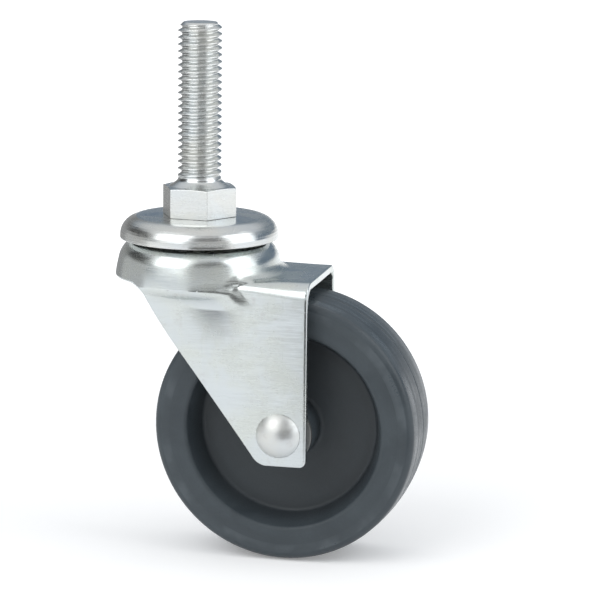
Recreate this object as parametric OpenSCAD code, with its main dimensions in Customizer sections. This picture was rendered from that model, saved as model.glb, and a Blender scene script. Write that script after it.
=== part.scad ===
// Stem castor: a threaded stem with a hex collar, a double ball race in a pressed steel head,
// a pressed steel fork and a solid rubber wheel on a riveted axle.
// Z is the swivel axis and points up, the fork trails towards +X and the axle lies along Y.
// The origin is on the swivel axis, on the seat face on top of the hex collar.

/* [Wheel] */
// Outside diameter of the wheel
wheel_d = 76.2; // [70:0.1:77]
// Width of the wheel across its side faces
wheel_w = 25.4; // [20:0.1:26]
// Thickness of the rubber between the tread and the mouth of the side recess
rim_depth = 10.2; // [7:0.1:13]
// Drop of the tread from its middle to its edges
tread_crown = 0.5; // [0:0.05:1.5]
// Radius of the edge between the tread and a side face
tread_edge_r = 2; // [1:0.1:4]
// Thickness of the web between the two side recesses
web_t = 7.4; // [5:0.1:12]
// Slope of the recess wall from the axle direction
recess_draft = 13; // [5:1:20]
// Radius of the fillets round the recess and the hub
recess_r = 1.2; // [0.6:0.1:1.5]
// Thickness of rubber round the bushing in the hub
hub_wall = 1.9; // [1.5:0.1:4]
// Chamfer round each end of the hub
hub_chamfer = 0.5; // [0.2:0.1:1]
// Width of the mould parting groove round the middle of the tread
parting_w = 0.8; // [0.4:0.1:2]
// Depth of the mould parting groove
parting_depth = 0.3; // [0.1:0.05:0.6]

/* [Axle] */
// Diameter of the axle rivet's shank
axle_d = 8; // [6:0.1:9]
// Wall of the steel sleeve that the rivet clamps between the legs
sleeve_wall = 1.5; // [1:0.1:2]
// Wall of the bushing that is moulded into the hub
bushing_wall = 1.5; // [1:0.1:2.5]
// Diameter of the rivet's domed head
head_d = 12.7; // [12:0.1:16]
// Height of the rivet's domed head
head_h = 3; // [2:0.1:4]
// Diameter of the rivet's formed end
upset_d = 11.6; // [11:0.1:14]
// Height of the rivet's formed end
upset_h = 2.2; // [1.5:0.1:3]
// Outside diameter of a thrust washer beside the hub
washer_d = 18.2; // [17.5:0.1:22]
// Thickness of a thrust washer
washer_t = 1.2; // [0.8:0.1:2]

/* [Fork] */
// Width across the outside faces of the two legs
fork_w = 37.2; // [36.6:0.1:40]
// Thickness of the pressed steel sheet
fork_t = 2.3; // [2:0.1:2.6]
// Distance from the swivel axis back to the axle
trail = 27.8; // [26:0.1:31]
// Gap between the tread and the underside of the shelf above it
wheel_clear = 3; // [2:0.1:8]
// Distance from the axle back to the legs' rear edge
ear_rear = 8; // [7:0.1:12]
// Distance from the axle forward to the foot of the legs' front edge
ear_front = 5.8; // [5:0.1:9]
// Distance from the axle down to the legs' lower edge
ear_below = 9; // [8:0.1:13]
// Radius of the corner between the bowl's rim and a leg's front edge
front_r = 3; // [1:0.5:5]
// Radius of the rounded corners at the foot of a leg
foot_r = 2; // [1:0.1:3]
// Outside radius of the bend between the shelf and a leg
bend_r = 4.2; // [3.6:0.1:6]
// Height from the shelf behind the bowl up to the bowl's crown
shelf_drop = 9.4; // [8.5:0.1:12]
// Distance from the swivel axis forward to where a leg's front edge starts
leg_front = 12.2; // [10:0.1:15]
// Height over which the bulge under the bowl fades into a flat leg
bulge_h = 18; // [14:0.5:24]
// Distance that the bulge leans towards the axle over that height
bulge_lean = 6; // [0:0.5:8]
// Share by which the bulge grows in length over that height
bulge_growth = 1.2; // [0.2:0.05:1.6]
// Depth to which the bulge sinks into the leg over that height
bulge_sink = 2.5; // [1.8:0.1:4]

/* [Bowl] */
// Diameter of the bowl at its lower rim
bowl_d = 48.4; // [47.6:0.1:52]
// Outward flare of the bowl's wall on one side
bowl_flare = 1.3; // [0.4:0.1:1.5]
// Radius of the shoulder between the crown and the wall
shoulder_r = 5.7; // [5:0.1:6]
// Height of the bowl from its lower rim to its crown
bowl_h = 11.3; // [10:0.1:14]
// Radius of the fillet between the bowl and the shelf
bowl_fillet = 2.6; // [1.5:0.1:4]
// Radial clearance between the crown's hole and the kingpin
crown_clear = 2.5; // [1.5:0.1:3]

/* [Head] */
// Outside diameter of the cap over the upper balls
cap_d = 45.2; // [44.6:0.1:49]
// Height of the cap from its top face to its rim
cap_h = 6.3; // [5.6:0.05:6.5]
// Thickness of the cap's sheet
cap_t = 2; // [1.6:0.1:2.4]
// Radius of the cap's rounded edge
cap_r = 5.4; // [2.8:0.1:5.6]
// Fall of the cap's top face from its bore to its edge
cap_fall = 0.2; // [0:0.1:0.7]
// Thickness of the lower race cup
cup_t = 2.2; // [1.6:0.1:2.6]
// Height of the lip round the lower race cup
cup_lip = 2; // [1:0.1:2.6]
// Diameter of a bearing ball
ball_d = 4.76; // [4.4:0.01:5]
// Diameter of the circle of the upper balls
upper_pcd = 31; // [30:0.1:32]
// Diameter of the circle of the lower balls
lower_pcd = 24; // [23:0.1:25]
// Depth of each ball groove in its sheet
race_depth = 0.6; // [0.4:0.05:0.7]
// Play between a ball and each of its grooves
race_play = 0.2; // [0.1:0.01:0.3]
// Smallest gap between two balls of a ring
ball_gap = 0.3; // [0.2:0.01:0.5]

/* [Stem] */
// Major diameter of the stem's thread
stem_d = 12.7; // [10:0.1:16]
// Length of the stem above the seat face
stem_l = 46.5; // [25:0.5:60]
// Chamfer at the stem's free end
stem_chamfer = 1.5; // [1:0.1:2]
// Size of the hex collar across its flats
hex_af = 19.05; // [18:0.05:24]
// Height of the hex collar
hex_h = 8.4; // [6:0.1:12]
// Turn of the hex collar about the swivel axis
hex_turn = -4; // [-30:1:30]
// Drop of the collar's chamfered corners
hex_chamfer = 0.3; // [0.2:0.1:1.5]
// Diameter of the kingpin below the collar
kingpin_d = 11; // [9:0.1:12]
// Diameter of the kingpin's riveted end
kingpin_head_d = 16; // [14:0.1:18]
// Height of the kingpin's riveted end
kingpin_head_h = 2.5; // [1.5:0.1:3]

/* [Fits] */
// Radial clearance of a running fit
run_fit = 0.06; // [0.03:0.01:0.1]
// Radial clearance of a piece that is riveted in place
rivet_fit = 0.05; // [0.02:0.01:0.1]
// Gap between a hub end and its thrust washer
side_play = 0.3; // [0.2:0.05:0.5]

/* [Hidden] */
$fn = 96;

// Heights on the swivel axis
cap_top = -hex_h;
cap_under = cap_top - cap_t;
race_r = ball_d/2 + race_play;
upper_z = cap_under + race_depth - race_r;
crown_top = upper_z - race_r + race_depth;
crown_under = crown_top - fork_t;
lower_z = crown_under + race_depth - race_r;
cup_top = lower_z - race_r + race_depth;
cup_under = cup_top - cup_t;
shelf_top = crown_top - shelf_drop;
axle_z = shelf_top - fork_t - wheel_clear - wheel_d/2;
bowl_rim = crown_top - bowl_h;

// Radii of the bearing and the bowl
upper_r = upper_pcd/2;
lower_r = lower_pcd/2;
bowl_r = bowl_d/2;
kingpin_r = kingpin_d/2;
cup_inner_r = lower_r + race_r + ball_gap;
cup_r = cup_inner_r + cup_t;
upper_count = floor(180/asin((ball_d + ball_gap)/upper_pcd));
lower_count = floor(180/asin((ball_d + ball_gap)/lower_pcd));

// Places across the fork
leg_y = fork_w/2;
inner_y = leg_y - fork_t;
rear_x = trail + ear_rear;
sleeve_r = axle_d/2 + rivet_fit + sleeve_wall;
bushing_bore_r = sleeve_r + run_fit;
bushing_r = bushing_bore_r + bushing_wall;
hub_r = bushing_r + hub_wall;
hub_y = inner_y - washer_t - side_play;

// Solids reach this far past what they cut
over = 1;

// A bulge starts a little above the rim and inside the wall, where its sheet is a little thicker,
// its back lies inside the sheet of the leg, and it ends where it stands this far out of its back
bulge_top = bowl_rim + 0.4;
bulge_in = 0.12;
bulge_thicker = 0.3;
bulge_back = 1.3;
bulge_end = 0.3;
bulge_rows = 10;
bulge_cols = 18;

// Share of a bend's radius that the fillet on the shelf stays away from a leg
fillet_end = 0.6;

// The legs start a little above the bowl's rim, and their front edge has these two handles
leg_lap = 0.3;
front_start = [0.16, -0.32];
front_end = [-0.25, 0.36];

// Points of an arc about c, from angle a0 to angle a1
function arc(c, r, a0, a1, n = 10) =
    [for (i = [0:n]) c + r*[cos(a0 + (a1 - a0)*i/n), sin(a0 + (a1 - a0)*i/n)]];

// Point of a cubic curve at t, from a to d with the handles b and c
function curve(a, b, c, d, t) =
    a*pow(1 - t, 3) + 3*b*t*pow(1 - t, 2) + 3*c*pow(t, 2)*(1 - t) + d*pow(t, 3);

// Turns what is drawn round Z so that it lies round the axle
module on_axle() {
    translate([trail, 0, axle_z]) rotate([-90, 0, 0]) children();
}

// Domed rivet head with its flat side at height 0 and its crest above
module dome(d, h) {
    crest_r = (d*d/4 + h*h)/(2*h);
    edge = asin(d/2/crest_r);
    rotate_extrude()
        polygon(concat([[0, 0]], arc([0, h - crest_r], crest_r, 90 - edge, 90, 12)));
}

// Stem, hex collar and kingpin, which are one turned piece with a riveted end
module stem() {
    corner_r = hex_af/sqrt(3);
    pin_l = -cap_top - cup_under;
    color("gainsboro") {
        cylinder(d = stem_d, h = stem_l - stem_chamfer);
        translate([0, 0, stem_l - stem_chamfer])
            cylinder(d1 = stem_d, d2 = stem_d - 2*stem_chamfer, h = stem_chamfer);
        intersection() {
            translate([0, 0, -hex_h]) rotate(hex_turn) cylinder(r = corner_r, h = hex_h, $fn = 6);
            translate([0, 0, -hex_h])
                cylinder(r1 = corner_r + hex_h*(corner_r - hex_af/2)/hex_chamfer,
                         r2 = hex_af/2, h = hex_h);
        }
        translate([0, 0, cup_under]) cylinder(r = kingpin_r, h = -cup_under - hex_h/2);
        translate([0, 0, cup_under]) mirror([0, 0, 1]) dome(kingpin_head_d, kingpin_head_h);
    }
}

// Cap over the upper balls, a shallow pan with a ball groove inside
module cap() {
    r = cap_d/2;
    edge = cap_top - cap_fall;
    inner_r = cap_r - cap_t;
    bore = kingpin_r + rivet_fit;
    color("silver") rotate_extrude() difference() {
        polygon(concat(
            [[bore, cap_top]],
            arc([r - cap_r, edge - cap_r], cap_r, 90, 0),
            [[r, cap_top - cap_h], [r - cap_t, cap_top - cap_h]],
            arc([r - cap_r, edge - cap_r], inner_r, 0, 90, 6),
            [[bore, cap_under]]));
        translate([upper_r, upper_z]) circle(r = race_r);
    }
}

// Cup under the lower balls, riveted to the kingpin's end
module lower_cup() {
    color("darkgray") rotate_extrude() difference() {
        polygon([
            [kingpin_r + rivet_fit, cup_under],
            [cup_r - cup_t/2, cup_under],
            [cup_r, cup_under + cup_t/2],
            [cup_r, cup_top + cup_lip],
            [cup_inner_r, cup_top + cup_lip],
            [cup_inner_r, cup_top],
            [kingpin_r + rivet_fit, cup_top]]);
        translate([lower_r, lower_z]) circle(r = race_r);
    }
}

// One ball of a ring
module ball(pcd, z, count, i) {
    color("lightsteelblue") rotate(360*i/count) translate([pcd/2, 0, z]) sphere(d = ball_d);
}

// Half section of the bowl, drawn in by inset: the outside at 0, the hollow at the sheet's thickness
module bowl_section(inset) {
    centre = [bowl_r - bowl_flare - shoulder_r, crown_top - shoulder_r];
    lean = atan(bowl_flare/(bowl_h - shoulder_r));
    low = inset > 0 ? min(bowl_rim, shelf_top - fork_t) - bulge_in : bowl_rim;
    polygon(concat(
        [[0, low], [0, crown_top - inset]],
        arc(centre, shoulder_r - inset, 90, lean, 12),
        [[bowl_r - inset, bowl_rim], [bowl_r - inset, low]]));
}

// Points across one row of a bulge, at share t of its height and of its fade into the leg
function bulge_row(t, fade, r, side) =
    let (back = side - bulge_back, reach = side + (bulge_sink*fade - bulge_back)/(1 - fade),
         half_a = acos(min(reach/r, 1)), stretch = 1 + bulge_growth*t)
    [for (i = [0:bulge_cols])
        let (a = half_a*(2*i/bulge_cols - 1))
        [(r*sin(a) + bulge_lean*t)*stretch,
         max(side + (1 - fade)*(r*cos(a) - side) - bulge_sink*fade, back),
         bulge_top - t*bulge_h]];

// Bulge of one leg under the bowl, a loft from the bowl's round wall down to the flat leg
module bulge(inset) {
    r = bowl_r - bulge_in - inset - (inset > 0 ? bulge_thicker : 0);
    side = leg_y - inset;
    last_fade = (r - side + bulge_back - bulge_end)/(r - side + bulge_sink);
    last = 0.5 - sin(asin(1 - 2*last_fade)/3);
    shares = [for (k = [0:bulge_rows]) last*k/bulge_rows];
    rows = [for (t = shares) bulge_row(t, t*t*(3 - 2*t), r, side)];
    n = bulge_cols + 1;
    polyhedron(
        points = [for (row = rows) each row],
        faces = concat(
            [[for (i = [0:n - 1]) i]],
            [[for (i = [n - 1:-1:0]) bulge_rows*n + i]],
            [[for (k = [0:bulge_rows]) (bulge_rows - k)*n, for (k = [0:bulge_rows]) k*n + n - 1]],
            [for (k = [0:bulge_rows - 1], i = [0:n - 2]) each
                let (p = k*n + i) [[p, p + n, p + 1], [p + 1, p + n, p + n + 1]]]));
}

// Channel of the shelf and the two legs: the outside at inset 0, the hollow at the sheet's thickness
module channel(inset) {
    w = leg_y - inset;
    low = axle_z - ear_below - over;
    corner = bend_r - inset;
    centre_z = shelf_top - bend_r;
    front = inset > 0 ? bowl_r + over : leg_front - over;
    rear = inset > 0 ? rear_x + over : rear_x;
    translate([-front, 0, 0]) rotate([90, 0, 90]) linear_extrude(front + rear)
        polygon(concat(
            [[-w, low], [w, low]],
            arc([w - corner, centre_z], corner, 0, 90, 8),
            arc([corner - w, centre_z], corner, 90, 180, 8)));
}

// Side outline of the legs below the bowl's rim, and of the shelf behind the bowl
module leg_outline() {
    rim = bowl_rim + leg_lap;
    top = crown_top + foot_r;
    far_x = -bowl_r - foot_r - front_r;
    foot = [trail - ear_front, axle_z - ear_below];
    start = [-leg_front, bowl_rim];
    fall = start.y - foot.y;
    front = [for (i = [0:20])
        curve(start, start + fall*front_start, foot + fall*front_end, foot, i/20)];
    offset(r = foot_r) offset(delta = -foot_r) offset(r = -front_r) offset(delta = front_r)
        polygon(concat(
            [[far_x, top], [far_x, rim], [-leg_front - over, rim]],
            front,
            [[rear_x, foot.y], [rear_x, top]]));
}

// Fillet ring between the bowl's wall and the shelf, which ends at the bends
module shelf_fillet() {
    wall = bowl_r - bowl_flare;
    half_w = leg_y - bend_r*fillet_end;
    intersection() {
        rotate_extrude() difference() {
            translate([wall - over, shelf_top - over])
                square([bowl_fillet + bowl_flare + over, bowl_fillet + over]);
            translate([bowl_r + bowl_fillet, shelf_top + bowl_fillet]) circle(r = bowl_fillet);
        }
        translate([0, -half_w, shelf_top - over])
            cube([bowl_r + bowl_fillet, 2*half_w, bowl_fillet + 2*over]);
    }
}

// Bulges of both legs
module bulges(inset) {
    bulge(inset);
    mirror([0, 1, 0]) bulge(inset);
}

// Pressed fork: a drawn raceway bowl, a shelf behind it and two legs that blend into the bowl
module fork() {
    color("whitesmoke") difference() {
        union() {
            rotate_extrude() bowl_section(0);
            intersection() {
                union() {
                    channel(0);
                    bulges(0);
                }
                translate([0, bowl_r + over, 0]) rotate([90, 0, 0])
                    linear_extrude(2*(bowl_r + over)) leg_outline();
            }
            shelf_fillet();
        }
        rotate_extrude() bowl_section(fork_t);
        bulges(fork_t);
        channel(fork_t);
        translate([0, 0, crown_under - over])
            cylinder(r = kingpin_r + crown_clear, h = fork_t + 2*over);
        rotate_extrude() translate([upper_r, upper_z]) circle(r = race_r);
        rotate_extrude() translate([lower_r, lower_z]) circle(r = race_r);
        on_axle() cylinder(r = axle_d/2 + rivet_fit, h = fork_w + 2*over, center = true);
    }
}

// Axle rivet with its domed head on the near side and its formed end on the far side
module axle_rivet() {
    color("white") on_axle() {
        cylinder(d = axle_d, h = fork_w, center = true);
        translate([0, 0, leg_y]) dome(upset_d, upset_h);
        translate([0, 0, -leg_y]) mirror([0, 0, 1]) dome(head_d, head_h);
    }
}

// Sleeve between the legs, on which the wheel turns
module axle_sleeve() {
    color("slategray") on_axle() difference() {
        cylinder(r = sleeve_r, h = 2*inner_y, center = true);
        cylinder(r = axle_d/2 + rivet_fit, h = fork_w, center = true);
    }
}

// Thrust washer against the leg on one side
module washer(side) {
    color("silver") on_axle() translate([0, 0, side*(inner_y - washer_t/2)]) difference() {
        cylinder(d = washer_d, h = washer_t, center = true);
        cylinder(r = sleeve_r + rivet_fit, h = washer_t + over, center = true);
    }
}

// Half section of the wheel, from its mid plane at height 0 to its side face
function wheel_half() =
    let (tread_r = wheel_d/2, side = wheel_w/2, shoulder = tread_r - tread_crown,
         mouth_r = tread_r - rim_depth, web = web_t/2, groove = parting_w/2,
         web_r = mouth_r - (side - web)*tan(recess_draft), flat = side - tread_edge_r - groove)
    concat(
        [[tread_r - parting_depth, 0], [tread_r, groove]],
        [for (i = [1:6]) [tread_r - tread_crown*pow(i/6, 2), groove + flat*i/6]],
        arc([shoulder - tread_edge_r, side - tread_edge_r], tread_edge_r, 10, 90, 8),
        arc([mouth_r + recess_r, side - recess_r], recess_r, 90, 180 - recess_draft, 6),
        arc([web_r - recess_r, web + recess_r], recess_r, -recess_draft, -90, 6),
        arc([hub_r + recess_r, web + recess_r], recess_r, 270, 180, 6),
        [[hub_r, hub_y - hub_chamfer], [hub_r - hub_chamfer, hub_y]],
        [[bushing_r + rivet_fit, hub_y]]);

// Solid rubber wheel with a recess in each side face and a hub round the bushing
module wheel() {
    half = wheel_half();
    color([0.2, 0.21, 0.22]) on_axle() rotate_extrude()
        polygon(concat(half, [for (i = [len(half) - 1:-1:1]) [half[i].x, -half[i].y]]));
}

// Bushing in the wheel's hub
module bushing() {
    color("tan") on_axle() difference() {
        cylinder(r = bushing_r, h = 2*hub_y, center = true);
        cylinder(r = bushing_bore_r, h = 2*hub_y + over, center = true);
    }
}

stem();
cap();
lower_cup();
fork();
axle_rivet();
axle_sleeve();
washer(-1);  // washer_near
washer(1);  // washer_far
wheel();
bushing();
for (i = [1:upper_count])
    ball(upper_pcd, upper_z, upper_count, i);
for (i = [1:lower_count])
    ball(lower_pcd, lower_z, lower_count, i);
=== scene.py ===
"""The looks of a stem castor: zinc plated steel, polished balls and a hard rubber wheel.

Everything is in metres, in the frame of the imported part: Z is the swivel axis, the fork trails towards +X
and the axle lies along Y. The camera stands where the photograph was taken from.
"""
import math

import bmesh
import bpy
import numpy as np
from mathutils import Matrix, Vector

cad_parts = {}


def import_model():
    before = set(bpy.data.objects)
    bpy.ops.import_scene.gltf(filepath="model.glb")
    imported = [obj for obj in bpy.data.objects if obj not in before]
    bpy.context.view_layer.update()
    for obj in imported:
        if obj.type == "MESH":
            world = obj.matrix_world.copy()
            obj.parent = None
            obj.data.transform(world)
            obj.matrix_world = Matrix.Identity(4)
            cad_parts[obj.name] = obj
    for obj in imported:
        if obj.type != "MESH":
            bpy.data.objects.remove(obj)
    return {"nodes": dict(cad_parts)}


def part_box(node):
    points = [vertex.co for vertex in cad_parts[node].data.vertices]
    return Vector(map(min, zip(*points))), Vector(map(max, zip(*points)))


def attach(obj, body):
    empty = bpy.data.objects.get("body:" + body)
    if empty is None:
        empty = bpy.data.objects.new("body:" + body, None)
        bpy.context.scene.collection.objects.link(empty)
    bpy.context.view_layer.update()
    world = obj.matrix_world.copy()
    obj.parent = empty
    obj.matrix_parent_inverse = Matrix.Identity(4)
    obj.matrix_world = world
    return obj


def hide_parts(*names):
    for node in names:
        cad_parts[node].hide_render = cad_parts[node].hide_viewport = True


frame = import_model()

MM = 0.001
TAU = 2*math.pi
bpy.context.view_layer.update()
nodes = frame["nodes"]

# Camera, fitted to the photograph
CAMERA_PLACE = Vector((0.1988, -0.7588, 0.1231))
CAMERA_AZIMUTH = math.radians(12.57)
CAMERA_ELEVATION = math.radians(11.26)
CAMERA_ROLL = math.radians(0.63)
CAMERA_LENS = 167.3

# Thread of the stem, a 1/2-13 one. On the way from a crest to the next root, the flank starts and ends at
# these shares
PITCH = 25.4/13*MM
THREAD_DEPTH = 0.6*PITCH
CREST_SHARE = 0.14
ROOT_SHARE = 0.80
STEM_R = 6.35*MM
CREST_SHORTFALL = 0.13*MM
END_CHAMFER = 1.5*MM

# Heights above the hex collar where the thread starts and over which it deepens, and the neck below it
THREAD_START = 1.9*MM
RUN_OUT = 2.4*MM
NECK_FLARE = 2.5*MM
NECK_HEIGHT = 1.9*MM

# Steps of the thread's mesh round one turn and along one pitch
TURN_STEPS = 96
THREAD_ROWS = 14

# Share of white that the floor shows by itself, close by and far off
FLOOR_GLOW = 0.21
FAR_FLOOR_GLOW = 0.60
FLOOR_R = 8.0

# Point that both lamps are aimed at, and the heights above the floor between which a card's shade changes
LAMP_TARGET = Vector((0.01, 0.0, -0.03))
CARD_FADE = (0.15, 0.21)

# Sizes of the pressed fork that its box doesn't give, in millimetres
SHEET = 2.3
SHARP = 0.02
CUT_EDGE_R = 0.5
CROWN_HOLE_R = 8.0
AXLE_HOLE_R = 4.05
RACE_R = 2.58
UPPER_RACE_R = 15.5
LOWER_RACE_R = 12.0

# Bowl: its wall flares down to the rim, and WALL_COSINE keeps distances true on the leaning wall
SHOULDER_R = 5.7
BOWL_H = 11.3
BOWL_FLARE = 1.3
BOWL_FILLET = 2.6
WALL_COSINE = 0.974
WALL_SOFTNESS = 0.8
RIM_LAP = 0.5

# Shelf and legs, with the radius of the bend between them in front and at the rear
SHELF_DROP = 9.4
BEND_R = (2.8, 4.8)
LEG_FRONT = 12.2
EAR_FRONT = 5.8
FOOT_R = 2.0
FRONT_R = 3.0

# Leg's front edge: the curve's two handles, as shares of its fall
FRONT_START = (0.16, -0.32)
FRONT_END = (-0.25, 0.36)

# Bulge that carries the bowl's round into a leg, and the width of its crease at the rim and below it
BULGE_H = 8.5
BULGE_LEAN = 1.0
BULGE_GROWTH = 0.25
INNER_RISE = 1.0
CREASE = (0.8, 2.4)

# Leg's soft swell below the bowl: how far it stands out, how far down it reaches, and its two parts, each
# with its share and the places along X where it starts and is whole
SWELL = 2.3
SWELL_H = 29.0
SWELL_SPANS = ((0.65, 18, -2), (0.35, 16, -22))

# Step of the grid that the fork's skin is drawn on
SKIN_STEP = 0.45

# Sizes read from the solids
wheel_low, wheel_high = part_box("wheel")
fork_low, fork_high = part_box("fork")
sleeve_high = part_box("axle_sleeve")[1]
upper_ball_low, upper_ball_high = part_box("upper_ball_1")
lower_ball_low, lower_ball_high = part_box("lower_ball_1")
stem_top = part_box("stem")[1].z
axle = (wheel_low + wheel_high)/2
wheel_r = (wheel_high.z - wheel_low.z)/2
floor_z = wheel_low.z


# Node helpers

def new_material(name):
    """A material and its node tree, still empty."""
    material = bpy.data.materials.new(name)
    material.use_nodes = True
    tree = material.node_tree
    tree.nodes.clear()
    return material, tree


def add(tree, kind, inputs=None, **settings):
    """Adds a node, sets its properties, and sets or links its inputs."""
    made = tree.nodes.new(kind)
    for key, value in settings.items():
        setattr(made, key, value)
    for key, value in (inputs or {}).items():
        if isinstance(value, bpy.types.NodeSocket):
            tree.links.new(value, made.inputs[key])
        else:
            made.inputs[key].default_value = value
    return made


def maths(tree, operation, a, b=0.0, c=0.0, clamp=False):
    """The result of a Math node."""
    return add(tree, "ShaderNodeMath", {0: a, 1: b, 2: c}, operation=operation, use_clamp=clamp).outputs[0]


def ramp(tree, value, low, high, start=0.0, end=1.0):
    """A value mapped smoothly from low..high to start..end, held at both ends."""
    return add(tree, "ShaderNodeMapRange",
               {"Value": value, "From Min": low, "From Max": high, "To Min": start, "To Max": end},
               interpolation_type="SMOOTHSTEP").outputs[0]


def mix(tree, share, a, b):
    """A mix of two colours, whose sockets on the Mix node are numbers 6 and 7."""
    return add(tree, "ShaderNodeMix", {0: share, 6: a, 7: b}, data_type="RGBA").outputs[2]


def noise(tree, place, scale, detail=3.0, rough=0.55, distortion=0.0):
    """The value of a noise texture."""
    return add(tree, "ShaderNodeTexNoise",
               {"Vector": place, "Scale": scale, "Detail": detail, "Roughness": rough,
                "Distortion": distortion}).outputs["Fac"]


def stretched(tree, place, scale, turn=(0.0, 0.0, 0.0)):
    """Coordinates turned and scaled differently along each axis, for scratches and grain."""
    return add(tree, "ShaderNodeMapping", {"Vector": place, "Rotation": turn, "Scale": scale}).outputs[0]


def edge_mask(tree, radius):
    """1 on the sharp edges of a solid, 0 away from them."""
    soft = add(tree, "ShaderNodeBevel", {"Radius": radius}, samples=6)
    true = add(tree, "ShaderNodeNewGeometry")
    same = add(tree, "ShaderNodeVectorMath", {0: soft.outputs[0], 1: true.outputs["True Normal"]},
               operation="DOT_PRODUCT").outputs["Value"]
    return ramp(tree, same, 0.98, 0.86)


def grey(value, warm=0.0):
    """A linear colour, a little warm or cool."""
    return (value*(1 + warm), value, value*(1 - warm), 1.0)


# Materials

def zinc(name, shade, gloss, cool=(0.95, 0.99, 1.0), warm=(1.0, 1.01, 0.975), grain=0.2, seed=0.0):
    """Bright zinc plate on steel: cloudy colour, fine pressing grain, light scratches and rubbed edges."""
    material, tree = new_material(name)
    place = add(tree, "ShaderNodeTexCoord").outputs["Object"]
    place = add(tree, "ShaderNodeVectorMath", {0: place, 1: (seed, seed*0.7, -seed)}).outputs[0]
    clouds = noise(tree, place, 70.0, 4.0, 0.6, 0.4)
    spots = noise(tree, place, 420.0, 3.0)
    fine = noise(tree, place, 2600.0, 2.0)
    brushed = noise(tree, stretched(tree, place, (120.0, 120.0, 2400.0), (0.3, 0.1, 0.0)), 1.0, 2.0)
    lines_a = noise(tree, stretched(tree, place, (60.0, 60.0, 5200.0), (0.5, 0.9, 0.2)), 1.0, 1.0)
    lines_b = noise(tree, stretched(tree, place, (5200.0, 50.0, 50.0), (0.2, 0.5, 0.7)), 1.0, 1.0)
    scratch = maths(tree, "MAXIMUM", ramp(tree, lines_a, 0.70, 0.76), ramp(tree, lines_b, 0.71, 0.77))
    edges = edge_mask(tree, 0.45*MM)

    cool_side = tuple(shade*c for c in cool) + (1.0,)
    warm_side = tuple(shade*c for c in warm) + (1.0,)
    colour = mix(tree, ramp(tree, clouds, 0.36, 0.64), cool_side, warm_side)
    colour = mix(tree, ramp(tree, spots, 0.58, 0.78, 0.0, 0.35), colour, grey(shade*0.72, 0.02))
    colour = mix(tree, maths(tree, "MULTIPLY", scratch, 0.25), colour, grey(shade*1.08))
    colour = mix(tree, maths(tree, "MULTIPLY", edges, 0.55), colour, grey(min(1.0, shade*1.15)))

    rough = ramp(tree, clouds, 0.3, 0.7, gloss - 0.05, gloss + 0.07)
    rough = maths(tree, "ADD", rough, ramp(tree, brushed, 0.3, 0.7, -0.04, 0.05))
    rough = maths(tree, "ADD", rough, maths(tree, "MULTIPLY", scratch, 0.10))
    rough = maths(tree, "SUBTRACT", rough, maths(tree, "MULTIPLY", edges, 0.06), clamp=True)

    height = maths(tree, "MULTIPLY_ADD", brushed, 0.7, maths(tree, "MULTIPLY", fine, 0.5))
    height = maths(tree, "MULTIPLY_ADD", scratch, -0.12, height)
    height = maths(tree, "MULTIPLY_ADD", clouds, 2.5, height)
    rounded = add(tree, "ShaderNodeBevel", {"Radius": 0.3*MM}, samples=6).outputs[0]
    bump = add(tree, "ShaderNodeBump",
               {"Strength": grain, "Distance": 0.02*MM, "Height": height, "Normal": rounded}).outputs[0]
    shader = add(tree, "ShaderNodeBsdfPrincipled",
                 {"Base Color": colour, "Metallic": 1.0, "Roughness": rough, "Normal": bump})
    add(tree, "ShaderNodeOutputMaterial", {"Surface": shader.outputs[0]})
    return material


def plain_steel(name, shade, gloss):
    """Turned steel without plate: rings of tool marks round the axle and a little oil staining."""
    material, tree = new_material(name)
    place = add(tree, "ShaderNodeTexCoord").outputs["Object"]
    stains = noise(tree, place, 160.0, 4.0)
    turned = noise(tree, stretched(tree, place, (90.0, 6000.0, 90.0)), 1.0, 1.0)
    colour = mix(tree, ramp(tree, stains, 0.35, 0.7), grey(shade, 0.01), grey(shade*0.66, 0.05))
    rough = maths(tree, "ADD", ramp(tree, turned, 0.3, 0.7, gloss - 0.06, gloss + 0.08),
                  ramp(tree, stains, 0.4, 0.7, 0.0, 0.12))
    bump = add(tree, "ShaderNodeBump",
               {"Strength": 0.3, "Distance": 0.02*MM, "Height": turned}).outputs[0]
    shader = add(tree, "ShaderNodeBsdfPrincipled",
                 {"Base Color": colour, "Metallic": 1.0, "Roughness": rough, "Normal": bump})
    add(tree, "ShaderNodeOutputMaterial", {"Surface": shader.outputs[0]})
    return material


def ball_steel(name):
    """Polished balls with a film of grease and fine running marks."""
    material, tree = new_material(name)
    place = add(tree, "ShaderNodeTexCoord").outputs["Object"]
    film = noise(tree, place, 380.0, 3.0)
    marks = noise(tree, stretched(tree, place, (200.0, 200.0, 5000.0)), 1.0, 1.0)
    colour = mix(tree, ramp(tree, film, 0.4, 0.7), grey(0.62), (0.42, 0.36, 0.26, 1.0))
    rough = maths(tree, "ADD", ramp(tree, film, 0.35, 0.7, 0.10, 0.32),
                  ramp(tree, marks, 0.5, 0.8, 0.0, 0.08))
    bump = add(tree, "ShaderNodeBump",
               {"Strength": 0.15, "Distance": 0.01*MM, "Height": marks}).outputs[0]
    shader = add(tree, "ShaderNodeBsdfPrincipled",
                 {"Base Color": colour, "Metallic": 1.0, "Roughness": rough, "Normal": bump})
    add(tree, "ShaderNodeOutputMaterial", {"Surface": shader.outputs[0]})
    return material


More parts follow.
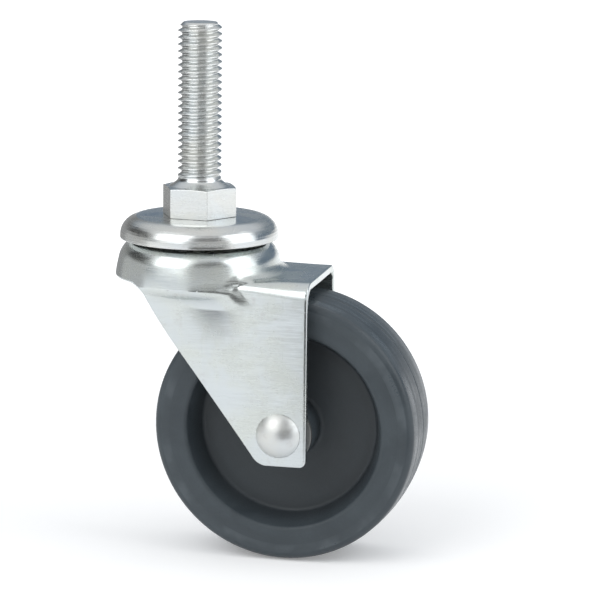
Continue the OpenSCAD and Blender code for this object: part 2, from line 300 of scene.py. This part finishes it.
def hard_rubber(name):
    """Moulded hard rubber: charcoal, with faint mould rings, fine grain and bloom; painted highlight on
    edges, painted sheen on worn shoulder streaks and painted shade in the recesses.
    """
    material, tree = new_material(name)
    place = add(tree, "ShaderNodeTexCoord").outputs["Object"]
    local = add(tree, "ShaderNodeVectorMath", {0: place, 1: tuple(axle)}, operation="SUBTRACT").outputs[0]
    parts = add(tree, "ShaderNodeSeparateXYZ", {0: local})
    radius = add(tree, "ShaderNodeVectorMath",
                 {0: add(tree, "ShaderNodeVectorMath", {0: local, 1: (1.0, 0.0, 1.0)},
                         operation="MULTIPLY").outputs[0]}, operation="LENGTH").outputs["Value"]
    along = parts.outputs["Y"]
    ring_place = add(tree, "ShaderNodeCombineXYZ", {0: radius, 1: along, 2: 0.0}).outputs[0]
    rings = noise(tree, ring_place, 900.0, 3.0, 0.6)
    broad_rings = noise(tree, ring_place, 170.0, 2.0, 0.5)
    bloom = noise(tree, place, 55.0, 5.0, 0.6, 0.6)
    grain = noise(tree, place, 1900.0, 3.0, 0.6)
    specks = noise(tree, place, 5200.0, 2.0)
    edges = edge_mask(tree, 0.6*MM)

    dark, light = (0.037, 0.048, 0.057, 1.0), (0.054, 0.068, 0.078, 1.0)
    colour = mix(tree, ramp(tree, bloom, 0.32, 0.68), dark, light)
    colour = mix(tree, ramp(tree, broad_rings, 0.35, 0.65, 0.0, 0.30), colour, (0.031, 0.039, 0.045, 1.0))
    colour = mix(tree, ramp(tree, specks, 0.66, 0.80, 0.0, 0.35), colour, (0.12, 0.13, 0.135, 1.0))
    # Edges lightened in colour: a painted highlight.
    colour = mix(tree, maths(tree, "MULTIPLY", edges, 0.45), colour, (0.14, 0.155, 0.165, 1.0))
    # Streaks on the tread's shoulder, worn smoother: lower roughness below, and a lighter colour here that
    # is a painted sheen.
    scuff_and_sheen_streaks = ramp(tree, noise(tree, ring_place, 520.0, 4.0, 0.7), 0.44, 0.60)
    patches = ramp(tree, noise(tree, place, 75.0, 3.0), 0.40, 0.60, 0.15, 1.0)
    scuff_and_sheen_streaks = maths(tree, "MULTIPLY", scuff_and_sheen_streaks, patches)
    wear_and_sheen = maths(tree, "MULTIPLY", scuff_and_sheen_streaks, ramp(tree, radius, wheel_r - 7.0*MM, wheel_r - 3.0*MM))
    colour = mix(tree, maths(tree, "MULTIPLY", wear_and_sheen, 0.45), colour, (0.115, 0.135, 0.150, 1.0))
    web_reach = 0.70*wheel_r
    # Inside the recesses the colour goes towards near black: painted shade.
    shaded_recess = ramp(tree, radius, web_reach + 1.7*MM, web_reach + 0.5*MM)
    shaded_depth = ramp(tree, maths(tree, "ABSOLUTE", along), 11.0*MM, 5.0*MM)
    colour = mix(tree, maths(tree, "MULTIPLY", maths(tree, "MULTIPLY", shaded_recess, shaded_depth), 0.45), colour,
                 (0.018, 0.020, 0.022, 1.0))

    rough = ramp(tree, bloom, 0.3, 0.7, 0.46, 0.60)
    rough = maths(tree, "ADD", rough, ramp(tree, grain, 0.3, 0.7, -0.06, 0.06))
    rough = maths(tree, "ADD", rough, ramp(tree, radius, wheel_r - 5.0*MM, wheel_r - 1.0*MM, 0.0, -0.12))
    rough = maths(tree, "MULTIPLY_ADD", wear_and_sheen, -0.14, rough)
    height = maths(tree, "MULTIPLY_ADD", rings, 1.0, maths(tree, "MULTIPLY", grain, 0.8))
    height = maths(tree, "MULTIPLY_ADD", broad_rings, 1.6, height)
    rounded = add(tree, "ShaderNodeBevel", {"Radius": 0.5*MM}, samples=6).outputs[0]
    bump = add(tree, "ShaderNodeBump",
               {"Strength": 0.35, "Distance": 0.06*MM, "Height": height, "Normal": rounded}).outputs[0]
    shader = add(tree, "ShaderNodeBsdfPrincipled",
                 {"Base Color": colour, "Roughness": rough, "Specular IOR Level": 0.45, "Normal": bump})
    add(tree, "ShaderNodeOutputMaterial", {"Surface": shader.outputs[0]})
    return material


# Pieces

def dress(name, material):
    """Gives a CAD node its material."""
    obj = nodes[name]
    obj.data.materials.clear()
    obj.data.materials.append(material)
    return obj


def add_piece(name, mesh, material, body, slot, *replaced):
    """Links a new mesh as a piece that rides on a body and stands for some CAD nodes."""
    obj = bpy.data.objects.new(name, mesh)
    bpy.context.scene.collection.objects.link(obj)
    mesh.materials.append(material)
    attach(obj, body)
    if replaced:
        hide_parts(*replaced)
    return obj


def round_and(a, b, r):
    """Distance to where two solids overlap, with their common edge rounded to radius r."""
    corner = np.hypot(np.maximum(a + r, 0), np.maximum(b + r, 0))
    return np.minimum(np.maximum(a, b), -r) + corner


def round_or(a, b, r):
    """Distance to two joined solids, with a fillet of radius r between them."""
    corner = np.hypot(np.maximum(r - a, 0), np.maximum(r - b, 0))
    return np.maximum(np.minimum(a, b), r) - corner


def ease(value, start, end):
    """0 before start, 1 after end and smooth between."""
    t = np.clip((value - start)/(end - start), 0, 1)
    return t*t*(3 - 2*t)


def above_zero(a, k):
    """The larger of a and 0, with the corner softened over the width k."""
    h = np.maximum(k - np.abs(a), 0)
    return np.maximum(a, 0) + h*h/(4*k)


class ForkShape:
    """The pressed fork as a distance field in millimetres: negative inside the steel."""

    def __init__(self):
        self.crown = fork_high.z/MM
        self.foot = fork_low.z/MM
        self.rear = fork_high.x/MM
        self.bowl_r = fork_high.y/MM
        self.leg_y = sleeve_high.y/MM + SHEET
        self.rim = self.crown - BOWL_H
        self.shelf = self.crown - SHELF_DROP
        self.races = ((UPPER_RACE_R, (upper_ball_low.z + upper_ball_high.z)/2/MM),
                      (LOWER_RACE_R, (lower_ball_low.z + lower_ball_high.z)/2/MM))
        self.axle = (axle.x/MM, axle.z/MM)
        t = np.linspace(0, 1, 60)
        start = np.array([-LEG_FRONT, self.rim])
        foot = np.array([self.axle[0] - EAR_FRONT, self.foot])
        fall = start[1] - foot[1]
        handle_a, handle_b = start + fall*np.array(FRONT_START), foot + fall*np.array(FRONT_END)
        edge = (np.outer((1 - t)**3, start) + np.outer(3*t*(1 - t)**2, handle_a)
                + np.outer(3*t*t*(1 - t), handle_b) + np.outer(t**3, foot))
        self.edge = edge[::-1]
        self.edge_slope = np.gradient(self.edge[:, 0], self.edge[:, 1])

    def half_width(self, x, z, inset):
        """Distance from the middle plane to the skin of a leg, with the bulge under the bowl."""
        drop = self.rim - z + INNER_RISE*(inset > 0)
        share = np.clip(drop/BULGE_H, 0, 1)
        side = self.leg_y - inset
        along = x/(1 + BULGE_GROWTH*share) - BULGE_LEAN*share
        round_y = np.sqrt(np.maximum((self.wall(z) - inset)**2 - along**2, 0))
        soft = CREASE[0] + (CREASE[1] - CREASE[0])*ease(drop, 0, 5)
        fade = ease(share, 0, 1)
        forward = sum(part*ease(x, rear, front) for part, rear, front in SWELL_SPANS)
        swell = SWELL*ease(drop, 0, 4)*ease(drop, SWELL_H, 3)*forward
        bulge = above_zero((1 - fade)*(round_y - side) - swell - CREASE[1]*fade, soft)
        return side + bulge + swell

    def wall(self, z):
        """Outer radius of the bowl's wall at a height."""
        rise = (z - self.rim)/(BOWL_H - SHOULDER_R)
        return self.bowl_r - BOWL_FLARE*above_zero(np.minimum(rise, 2), WALL_SOFTNESS)

    def pressing(self, x, y, z, inset):
        """Distance to the solid form, drawn in by inset: the outside at 0, the hollow at the sheet."""
        radius = np.hypot(x, y)
        wall = WALL_COSINE*(radius - self.wall(z) + inset)
        bowl = round_and(z - self.crown + inset, wall, SHOULDER_R - inset)
        bowl = np.maximum(bowl, self.rim - RIM_LAP - z)
        side = np.abs(y) - self.half_width(x, z, inset)
        bend = BEND_R[0] + (BEND_R[1] - BEND_R[0])*ease(x, 14, self.rear)
        legs = round_and(z - self.shelf + inset, side, np.maximum(bend - inset, 0.4))
        legs = np.maximum(legs, np.minimum(z - self.rim, -x - LEG_FRONT))
        fillet = SHARP + BOWL_FILLET*ease(z, self.shelf - 2.0, self.shelf)*ease(x, 9, 16)
        return round_or(bowl, legs, fillet if inset == 0 else SHARP)

    def outline(self, x, z):
        """Distance to the side outline that the sheet is trimmed to."""
        edge_x = np.interp(z, self.edge[:, 1], self.edge[:, 0])
        slope = np.interp(z, self.edge[:, 1], self.edge_slope)
        front = (edge_x - x)/np.sqrt(1 + slope**2)
        ears = round_and(x - self.rear, self.foot - z, FOOT_R)
        return round_and(ears, round_or(front, self.rim - z, FRONT_R), FOOT_R)

    def __call__(self, x, y, z):
        sheet = np.maximum(self.pressing(x, y, z, 0.0), -self.pressing(x, y, z, SHEET))
        sheet = round_and(sheet, self.outline(x, z), CUT_EDGE_R)
        radius = np.hypot(x, y)
        sheet = round_and(sheet, CROWN_HOLE_R - radius, CUT_EDGE_R)
        sheet = np.maximum(sheet, AXLE_HOLE_R - np.hypot(x - self.axle[0], z - self.axle[1]))
        for race_radius, race_z in self.races:
            sheet = np.maximum(sheet, RACE_R - np.hypot(radius - race_radius, z - race_z))
        return sheet

    def slope(self, points, reach=0.02):
        """Gradient of the field at points."""
        made = np.empty_like(points)
        for axis in range(3):
            step = np.zeros(3)
            step[axis] = reach
            made[:, axis] = (self(*(points + step).T) - self(*(points - step).T))/(2*reach)
        return made


def surface_net(field):
    """Points, in grid steps, and four-sided faces of the surface where a field on a grid is zero.

    Each cell of the grid that the surface crosses gets one point, at the mean of the crossings on the
    cell's edges. Each edge of the grid that it crosses gets a face, between the four cells round it.
    """
    inside = field < 0
    cells = [n - 1 for n in field.shape]
    total, count = np.zeros(cells + [3]), np.zeros(cells)
    cell = np.stack(np.meshgrid(*[np.arange(n) for n in cells], indexing="ij"), -1).astype(float)
    quads = []
    for axis in range(3):
        others = [a for a in range(3) if a != axis]
        near = [slice(None)]*3
        far = [slice(None)]*3
        near[axis], far[axis] = slice(0, -1), slice(1, None)
        first, second = field[tuple(near)], field[tuple(far)]
        crossed = inside[tuple(near)] != inside[tuple(far)]
        share = np.where(crossed, first/np.where(crossed, first - second, 1), 0)
        for u in (0, 1):
            for v in (0, 1):
                part = [slice(None)]*3
                part[others[0]] = slice(u, share.shape[others[0]] - 1 + u)
                part[others[1]] = slice(v, share.shape[others[1]] - 1 + v)
                hit = crossed[tuple(part)]
                offset = np.zeros(3)
                offset[others[0]], offset[others[1]] = u, v
                place = cell + offset
                place[..., axis] += share[tuple(part)]
                total += place*hit[..., None]
                count += hit
        edges = np.argwhere(crossed)
        for other in others:
            edges = edges[(edges[:, other] > 0) & (edges[:, other] < cells[other])]
        corners = []
        for u, v in ((1, 1), (0, 1), (0, 0), (1, 0)):
            moved = edges.copy()
            moved[:, others[0]] -= u
            moved[:, others[1]] -= v
            corners.append(moved)
        flip = inside[tuple(edges.T)] != (axis == 1)
        ring = np.stack(corners, 1)
        ring[~flip] = ring[~flip][:, ::-1]
        quads.append(ring)
    used = count > 0
    number = np.full(count.shape, -1)
    number[used] = np.arange(used.sum())
    faces = number[tuple(np.moveaxis(np.concatenate(quads), -1, 0))]
    return total[used]/count[used][:, None], faces


def skin_mesh(name, shape, low, high, step):
    """Mesh of the surface where a distance field is zero, with points drawn onto it."""
    axes = [np.arange(a - 2*step, b + 3*step, step) for a, b in zip(low, high)]
    places, faces = surface_net(shape(*np.meshgrid(*axes, indexing="ij")))
    points = places*step + np.array([a[0] for a in axes])
    for _ in range(5):
        slope = shape.slope(points)
        size = np.maximum((slope**2).sum(1), 0.3)
        move = slope*(shape(*points.T)/size)[:, None]
        points -= np.clip(move, -0.3*step, 0.3*step)
    mesh = bpy.data.meshes.new(name)
    mesh.from_pydata((points*MM).tolist(), [], faces.tolist())
    mesh.validate()
    mesh.shade_smooth()
    normals = shape.slope(points)
    normals /= np.linalg.norm(normals, axis=1)[:, None]
    mesh.normals_split_custom_set_from_vertices(normals.tolist())
    return mesh


def pressed_fork(material):
    """The fork as one smooth pressing, drawn over the same form as its solid."""
    shape = ForkShape()
    low, high = np.array(fork_low)/MM, np.array(fork_high)/MM
    mesh = skin_mesh("fork_pressing", shape, low, high, SKIN_STEP)
    return add_piece("fork_pressing", mesh, material, "fork", "zinc_fork", "fork")


def thread_radius(z, phase):
    """Radius of the threaded stem at height z, at a phase of 0 to 1 through the pitch from a crest."""
    major = STEM_R - CREST_SHORTFALL
    away = abs((phase + 0.5) % 1.0 - 0.5)*2
    share = min(1.0, max(0.0, (away - CREST_SHARE)/(ROOT_SHARE - CREST_SHARE)))
    depth = THREAD_DEPTH*min(1.0, max(0.0, (z - THREAD_START)/RUN_OUT))
    neck = NECK_FLARE*max(0.0, 1 - z/NECK_HEIGHT)**1.5
    chamfer = major - max(0.0, z - (stem_top - END_CHAMFER))
    return min(major - depth*share, chamfer) + neck


def thread_surface():
    """The stem's helical thread from the hex collar to its end, as a bmesh that is open at its foot."""
    bm = bmesh.new()
    turns = math.ceil((stem_top + 2*PITCH)/PITCH)
    rows = turns*THREAD_ROWS
    grid = []
    for k in range(rows + 1):
        line = []
        for n in range(TURN_STEPS):
            z = (k/THREAD_ROWS + n/TURN_STEPS - 1)*PITCH
            r = thread_radius(z, k/THREAD_ROWS)
            a = TAU*n/TURN_STEPS
            line.append(bm.verts.new((r*math.cos(a), r*math.sin(a), z)))
        grid.append(line)
    for k in range(rows):
        for n in range(TURN_STEPS - 1):
            bm.faces.new((grid[k][n], grid[k][n + 1], grid[k + 1][n + 1], grid[k + 1][n]))
        if k + THREAD_ROWS + 1 <= rows:
            above = grid[k + THREAD_ROWS][0], grid[k + THREAD_ROWS + 1][0]
            bm.faces.new((grid[k][-1], above[0], above[1], grid[k + 1][-1]))
    for height, lower in ((0.0, True), (stem_top - 0.01*MM, False)):
        everything = bm.verts[:] + bm.edges[:] + bm.faces[:]
        bmesh.ops.bisect_plane(bm, geom=everything, plane_co=(0, 0, height), plane_no=(0, 0, 1),
                               clear_inner=lower, clear_outer=not lower)
    bmesh.ops.holes_fill(bm, edges=[e for e in bm.edges if e.is_boundary], sides=0)
    return bm


def threaded_stem(material):
    """Stem with its helical thread, over the hex collar and the kingpin of its solid."""
    bm = thread_surface()
    solid = bmesh.new()
    solid.from_mesh(nodes["stem"].data)
    inner = [f for f in solid.faces if f.calc_center_median().z > 0.01*MM]
    bmesh.ops.delete(solid, geom=inner, context="FACES")
    rest = bpy.data.meshes.new("collar")
    solid.to_mesh(rest)
    solid.free()
    bm.from_mesh(rest)
    bpy.data.meshes.remove(rest)
    mesh = bpy.data.meshes.new("stem_thread")
    bm.to_mesh(mesh)
    bm.free()
    mesh.shade_smooth()
    mesh.set_sharp_from_angle(angle=math.radians(28))
    return add_piece("stem_thread", mesh, material, "head", "zinc_stem", "stem")


# Stage, light and camera

def floor():
    """A wide plain floor that shows white to the camera and keeps the soft shadow."""
    bpy.ops.mesh.primitive_circle_add(vertices=64, radius=FLOOR_R, fill_type="NGON",
                                      location=(0, 0, floor_z - 0.02*MM))
    obj = bpy.context.object
    obj.name = "floor"
    material, tree = new_material("pale_floor")
    paths = add(tree, "ShaderNodeLightPath")
    seen = maths(tree, "MAXIMUM", paths.outputs["Is Camera Ray"], paths.outputs["Is Glossy Ray"])
    seen = maths(tree, "MAXIMUM", seen, paths.outputs["Is Transmission Ray"])
    place = add(tree, "ShaderNodeNewGeometry").outputs["Position"]
    away = add(tree, "ShaderNodeVectorMath", {0: place}, operation="LENGTH").outputs["Value"]
    whiter = ramp(tree, away, 0.12, 0.7, FLOOR_GLOW, FAR_FLOOR_GLOW)
    axes = add(tree, "ShaderNodeSeparateXYZ", {0: place})
    front = ramp(tree, axes.outputs["Y"], -0.5, -0.12, 0.3, 1.0)
    right = ramp(tree, axes.outputs["X"], 0.5, 0.2, 0.4, 1.0)
    beside = maths(tree, "MAXIMUM", maths(tree, "MULTIPLY", front, right), ramp(tree, away, 0.7, 1.1))
    whiter = maths(tree, "MULTIPLY", whiter, beside)
    matt = add(tree, "ShaderNodeBsdfDiffuse", {"Color": grey(0.90)})
    glow = add(tree, "ShaderNodeEmission",
               {"Color": grey(1.0), "Strength": maths(tree, "MULTIPLY", seen, whiter)})
    both = add(tree, "ShaderNodeAddShader", {0: matt.outputs[0], 1: glow.outputs[0]})
    add(tree, "ShaderNodeOutputMaterial", {"Surface": both.outputs[0]})
    obj.data.materials.append(material)


def world():
    """A studio: white round the horizon, slate above it, and a soft white ceiling."""
    made = bpy.data.worlds.new("studio")
    bpy.context.scene.world = made
    made.use_nodes = True
    tree = made.node_tree
    tree.nodes.clear()
    direction = add(tree, "ShaderNodeTexCoord").outputs["Generated"]
    axes = add(tree, "ShaderNodeSeparateXYZ", {0: direction})
    up = axes.outputs["Z"]
    colours = add(tree, "ShaderNodeValToRGB", {0: maths(tree, "MULTIPLY_ADD", up, 0.5, 0.5)})
    stops = colours.color_ramp
    stops.interpolation = "EASE"
    # Each stop is a height, from 0 straight down to 1 straight up, and the colour there
    heights = ((0.0, (1.0, 1.0, 1.0)), (0.52, (1.0, 1.0, 1.0)), (0.555, (0.17, 0.22, 0.28)),
               (0.68, (0.21, 0.26, 0.31)), (0.85, (0.75, 0.77, 0.80)), (1.0, (0.9, 0.9, 0.9)))
    while len(stops.elements) > 1:
        stops.elements.remove(stops.elements[0])
    stops.elements[0].position = 0.0
    stops.elements[0].color = heights[0][1] + (1.0,)
    for height, colour in heights[1:]:
        stops.elements.new(height).color = colour + (1.0,)
    reach = maths(tree, "SUBTRACT", up, ramp(tree, axes.outputs["X"], 0.15, -0.15, 0.30, 0.62))
    front = maths(tree, "MULTIPLY", ramp(tree, axes.outputs["Y"], 0.0, -0.5), ramp(tree, reach, 0.2, 0.0))
    lit = mix(tree, front, colours.outputs[0], (0.92, 0.94, 0.95, 1.0))
    left = maths(tree, "MULTIPLY", ramp(tree, axes.outputs["X"], -0.6, -1.0), ramp(tree, up, 0.06, 0.2))
    shaded = mix(tree, left, lit, (0.16, 0.18, 0.21, 1.0))
    glow = add(tree, "ShaderNodeBackground", {"Color": shaded, "Strength": 1.0})
    add(tree, "ShaderNodeOutputWorld", {"Surface": glow.outputs[0]})


def softbox(name, place, size, power):
    """A soft white area lamp."""
    data = bpy.data.lights.new(name, "AREA")
    data.shape = "RECTANGLE"
    data.size, data.size_y = size
    data.energy = power
    obj = bpy.data.objects.new(name, data)
    obj.location = place
    obj.rotation_euler = (LAMP_TARGET - Vector(place)).to_track_quat("-Z", "Y").to_euler()
    bpy.context.scene.collection.objects.link(obj)


def card(name, turn, away, width, heights, shades):
    """An upright card that glows grey and that only reflections see.

    It stands at an angle of turn degrees about Z from the +X side, and it glows with one strength at its
    foot and another higher up.
    """
    back = Vector((math.cos(math.radians(turn)), math.sin(math.radians(turn)), 0.0))*away
    side = Vector((-back.y, back.x, 0.0)).normalized()*width/2
    low, high = (Vector((0, 0, height)) for height in heights)
    corners = (back - side + low, back + side + low, back + side + high, back - side + high)
    mesh = bpy.data.meshes.new(name)
    mesh.from_pydata(corners, [], [(0, 1, 2, 3)])
    obj = bpy.data.objects.new(name, mesh)
    obj.location = (0, 0, floor_z)
    material, tree = new_material(name)
    place = add(tree, "ShaderNodeTexCoord").outputs["Object"]
    up = add(tree, "ShaderNodeSeparateXYZ", {0: place}).outputs["Z"]
    shade = ramp(tree, up, *CARD_FADE, *shades)
    # The card's grey is light that it gives off itself.
    glow = add(tree, "ShaderNodeEmission", {"Color": grey(1.0), "Strength": shade})
    add(tree, "ShaderNodeOutputMaterial", {"Surface": glow.outputs[0]})
    mesh.materials.append(material)
    obj.visible_camera = False
    obj.visible_diffuse = False
    obj.visible_shadow = False
    bpy.context.scene.collection.objects.link(obj)


def camera():
    """The camera of the photograph."""
    back = Vector((math.sin(CAMERA_AZIMUTH)*math.cos(CAMERA_ELEVATION),
                   -math.cos(CAMERA_AZIMUTH)*math.cos(CAMERA_ELEVATION), math.sin(CAMERA_ELEVATION)))
    side = Vector((math.cos(CAMERA_AZIMUTH), math.sin(CAMERA_AZIMUTH), 0.0))
    up = back.cross(side)
    turned_side = side*math.cos(CAMERA_ROLL) + up*math.sin(CAMERA_ROLL)
    turned_up = up*math.cos(CAMERA_ROLL) - side*math.sin(CAMERA_ROLL)
    data = bpy.data.cameras.new("camera")
    data.lens = CAMERA_LENS
    data.sensor_width = 36.0
    data.clip_start = 0.02
    data.clip_end = 60.0
    obj = bpy.data.objects.new("camera", data)
    rotation = Matrix((turned_side, turned_up, back)).transposed().to_4x4()
    obj.matrix_world = Matrix.Translation(CAMERA_PLACE) @ rotation
    bpy.context.scene.collection.objects.link(obj)
    bpy.context.scene.camera = obj


# Build

camera()
floor()
world()
card("dark_side", turn=180, away=0.36, width=0.34, heights=(0.0, 0.36), shades=(0.58, 0.05))
card("back_side", turn=133, away=0.36, width=0.28, heights=(0.0, 0.26), shades=(0.36, 0.20))
card("camera_side", turn=-62, away=0.25, width=0.26, heights=(0.115, 0.38), shades=(0.64, 0.26))
card("camera_low", turn=-62.5, away=0.17, width=0.17, heights=(0.0, 0.088), shades=(0.17, 0.17))
softbox("key", place=(-0.455, -0.755, 0.66), size=(0.92, 0.85), power=4.2)
softbox("fill", place=(0.86, -0.10, 0.44), size=(0.75, 0.85), power=3.1)
bpy.context.scene.view_settings.view_transform = "Standard"

plate_fork = zinc("zinc_fork", 0.65, 0.22, (0.92, 0.98, 1.0), (0.96, 1.01, 0.97), grain=0.10, seed=0.3)
plate_cap = zinc("zinc_cap", 0.65, 0.22, seed=1.7)
plate_cup = zinc("zinc_cup", 0.60, 0.34, seed=2.9)
plate_stem = zinc("zinc_stem", 0.67, 0.25, seed=4.1)
plate_rivet = zinc("zinc_rivet", 0.68, 0.40, seed=5.3)
# The washers get zinc far darker than the other plate: painted shade between the wheel and the legs.
shaded_plate_washer = zinc("zinc_washer", 0.20, 0.38, seed=6.7)
steel = plain_steel("plain_steel", 0.50, 0.34)
balls = ball_steel("ball_steel")
rubber = hard_rubber("hard_rubber")

finishes = {"stem": plate_stem, "cap": plate_cap, "lower_cup": plate_cup, "fork": plate_fork,
            "axle_rivet": plate_rivet, "axle_sleeve": steel, "washer_near": shaded_plate_washer,
            "washer_far": shaded_plate_washer, "wheel": rubber, "bushing": steel}
for name in nodes:
    dress(name, finishes.get(name, balls))
pressed_fork(plate_fork)
threaded_stem(plate_stem)
